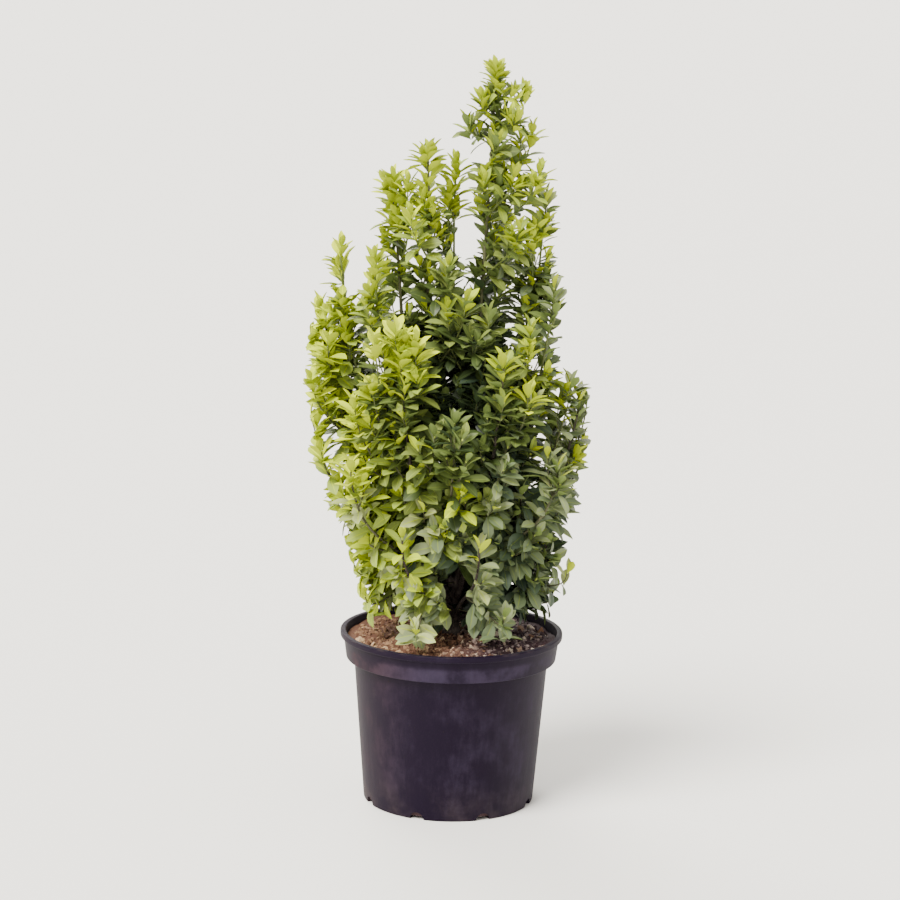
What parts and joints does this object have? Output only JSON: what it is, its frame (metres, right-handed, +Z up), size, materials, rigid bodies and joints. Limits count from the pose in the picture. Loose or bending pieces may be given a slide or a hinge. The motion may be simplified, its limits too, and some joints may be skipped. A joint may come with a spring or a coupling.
{
  "type": "potted euonymus",
  "caption": "Upright evergreen shrub with glossy leaves and yellow-green young tips, in a round plastic nursery pot of soil.",
  "frame": {"origin": "centre of the pot's flat underside, where it stands on the ground", "axes": "+Z up along the pot's axis, -Y to the front that the picture shows, +X to the right seen from the front"},
  "size_m": [0.2895, 0.2618, 0.7536],
  "materials": {
    "pot_plastic": "matt dark plum-black, dusty and scuffed",
    "potting_soil": "rough crumbly dark brown with chips of bark",
    "bark": "dull grey-brown bark with fine ridges",
    "green_bark": "smooth olive-green young bark",
    "old_leaves": "glossy deep green",
    "leaves": "glossy fresh green",
    "young_leaves": "glossy yellow-green"
  },
  "bodies": {
    "root": {"pot": "pot_plastic", "soil": "potting_soil", "trunk": "bark", "bough_leader": "bark", "bough_centre": "bark", "bough_left": "bark", "bough_back": "bark", "bough_front_left": "bark", "bough_front_right": "bark", "bough_back_left": "bark", "bough_back_right": "bark", "bough_right": "bark", "bough_centre_twin": "green_bark", "bough_right_spire": "green_bark", "bough_back_spire": "green_bark", "bough_right_shoulder": "green_bark", "bough_left_shoulder": "green_bark", "bough_front_shoulder": "green_bark", "bough_far_left": "green_bark", "bough_front": "green_bark", "bough_low_left": "green_bark", "bough_low_right": "green_bark", "bough_low_front_left": "green_bark", "bough_low_front_right": "green_bark", "bough_low_back_left": "green_bark", "bough_low_back_right": "green_bark", "bough_low_back": "green_bark", "leaves_leader": "young_leaves", "leaves_centre": "young_leaves", "leaves_left": "young_leaves", "leaves_centre_twin": "young_leaves", "leaves_right_spire": "young_leaves", "leaves_back_spire": "young_leaves", "leaves_left_shoulder": "young_leaves", "leaves_front_shoulder": "young_leaves", "leaves_back": "leaves", "leaves_front_left": "leaves", "leaves_front_right": "leaves", "leaves_back_left": "leaves", "leaves_back_right": "leaves", "leaves_right": "leaves", "leaves_right_shoulder": "leaves", "leaves_far_left": "leaves", "leaves_front": "leaves", "leaves_low_left": "leaves", "leaves_low_right": "old_leaves", "leaves_low_front_left": "old_leaves", "leaves_low_front_right": "old_leaves", "leaves_low_back_left": "old_leaves", "leaves_low_back_right": "old_leaves", "leaves_low_back": "old_leaves", "leaves_foot_front_left": "old_leaves", "leaves_foot_front_right": "old_leaves", "leaves_foot_right": "old_leaves", "leaves_foot_left": "old_leaves", "leaves_foot_back_left": "old_leaves", "leaves_foot_back_right": "old_leaves"}
  },
  "joints": []
}
